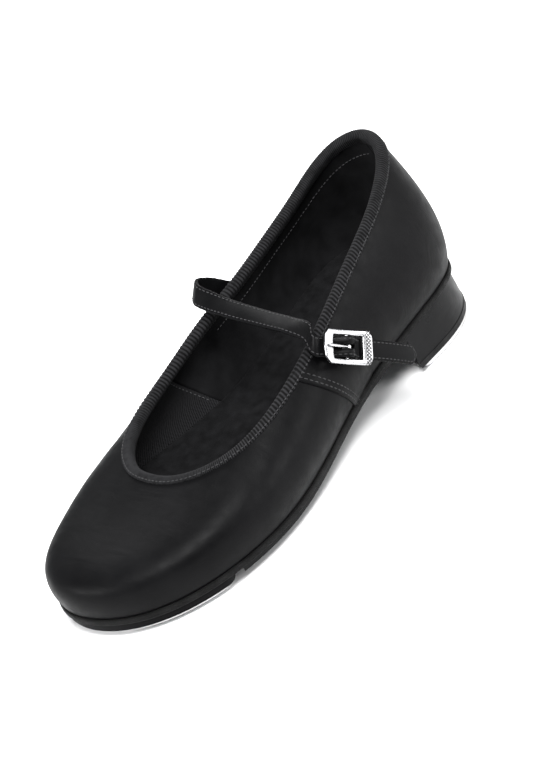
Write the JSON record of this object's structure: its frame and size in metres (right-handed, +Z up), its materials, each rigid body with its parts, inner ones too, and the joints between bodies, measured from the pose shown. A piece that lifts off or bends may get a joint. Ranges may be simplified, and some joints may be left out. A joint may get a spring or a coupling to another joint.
{
  "type": "tap shoe",
  "caption": "Low-heeled black leather tap shoe for the left foot, with a buckled instep strap and screwed-on metal taps under the toe and heel.",
  "frame": {"origin": "on the floor, under the centre of the shoe's bounding box", "axes": "+Z up, toe along -Y, heel along +Y, outer (buckle) side along +X"},
  "size_m": [0.0902, 0.2326, 0.0891],
  "materials": {
    "black_leather": "satin",
    "stiffener": "matte",
    "mesh_lining": "open mesh",
    "suede_lining": "matte",
    "grosgrain": "ribbed",
    "fibreboard": "matte",
    "spring_steel": "plain",
    "felt": "matte",
    "foam": "matte",
    "sock_fabric": "matte",
    "sole_rubber": "matte",
    "tread_rubber": "knurled",
    "fibreboard_black": "smooth",
    "tap_metal": "satin",
    "screw_steel": "bright",
    "heel_cover": "satin",
    "buckle_metal": "polished"
  },
  "bodies": {
    "shoe": {"bottom_filler": "felt", "buckle_chape": "black_leather", "cushion_pad": "foam", "heel_block": "heel_cover", "heel_counter": "stiffener", "heel_lift": "tread_rubber", "heel_nails": "spring_steel", "heel_screw": "spring_steel", "heel_tap": "tap_metal", "heel_tap_screws": "screw_steel", "insole_board": "fibreboard", "insole_sock": "sock_fabric", "midsole": "sole_rubber", "outsole": "tread_rubber", "quarter_lateral": "black_leather", "quarter_lining_lateral": "suede_lining", "quarter_lining_medial": "suede_lining", "quarter_medial": "black_leather", "shank": "spring_steel", "shank_rivets": "spring_steel", "strap": "black_leather", "toe_puff": "stiffener", "toe_tap": "tap_metal", "toe_tap_board": "fibreboard_black", "toe_tap_screws": "screw_steel", "topline_binding": "grosgrain", "vamp": "black_leather", "vamp_lining": "mesh_lining"},
    "buckle": {"buckle_bar": "buckle_metal", "buckle_frame": "buckle_metal"},
    "prong": {"buckle_prong": "buckle_metal"},
    "tail": {"strap_tail": "black_leather"}
  },
  "joints": [
    {"name": "buckle_rock", "type": "hinge", "parent": "shoe", "child": "buckle", "pos_m": [0.03887, 0.02327, 0.04566], "axis": [-0.2794, 0.6438, 0.7124], "range_deg": [-3, 3]},
    {"name": "prong_lift", "type": "hinge", "parent": "buckle", "child": "prong", "pos_m": [0.03887, 0.02327, 0.04566], "axis": [-0.2794, 0.6438, 0.7124], "range_deg": [0, 75]},
    {"name": "tail_lift", "type": "hinge", "parent": "shoe", "child": "tail", "pos_m": [0.0396, 0.0332, 0.03697], "axis": [0.2794, -0.6438, -0.7124], "range_deg": [0, 45]}
  ]
}
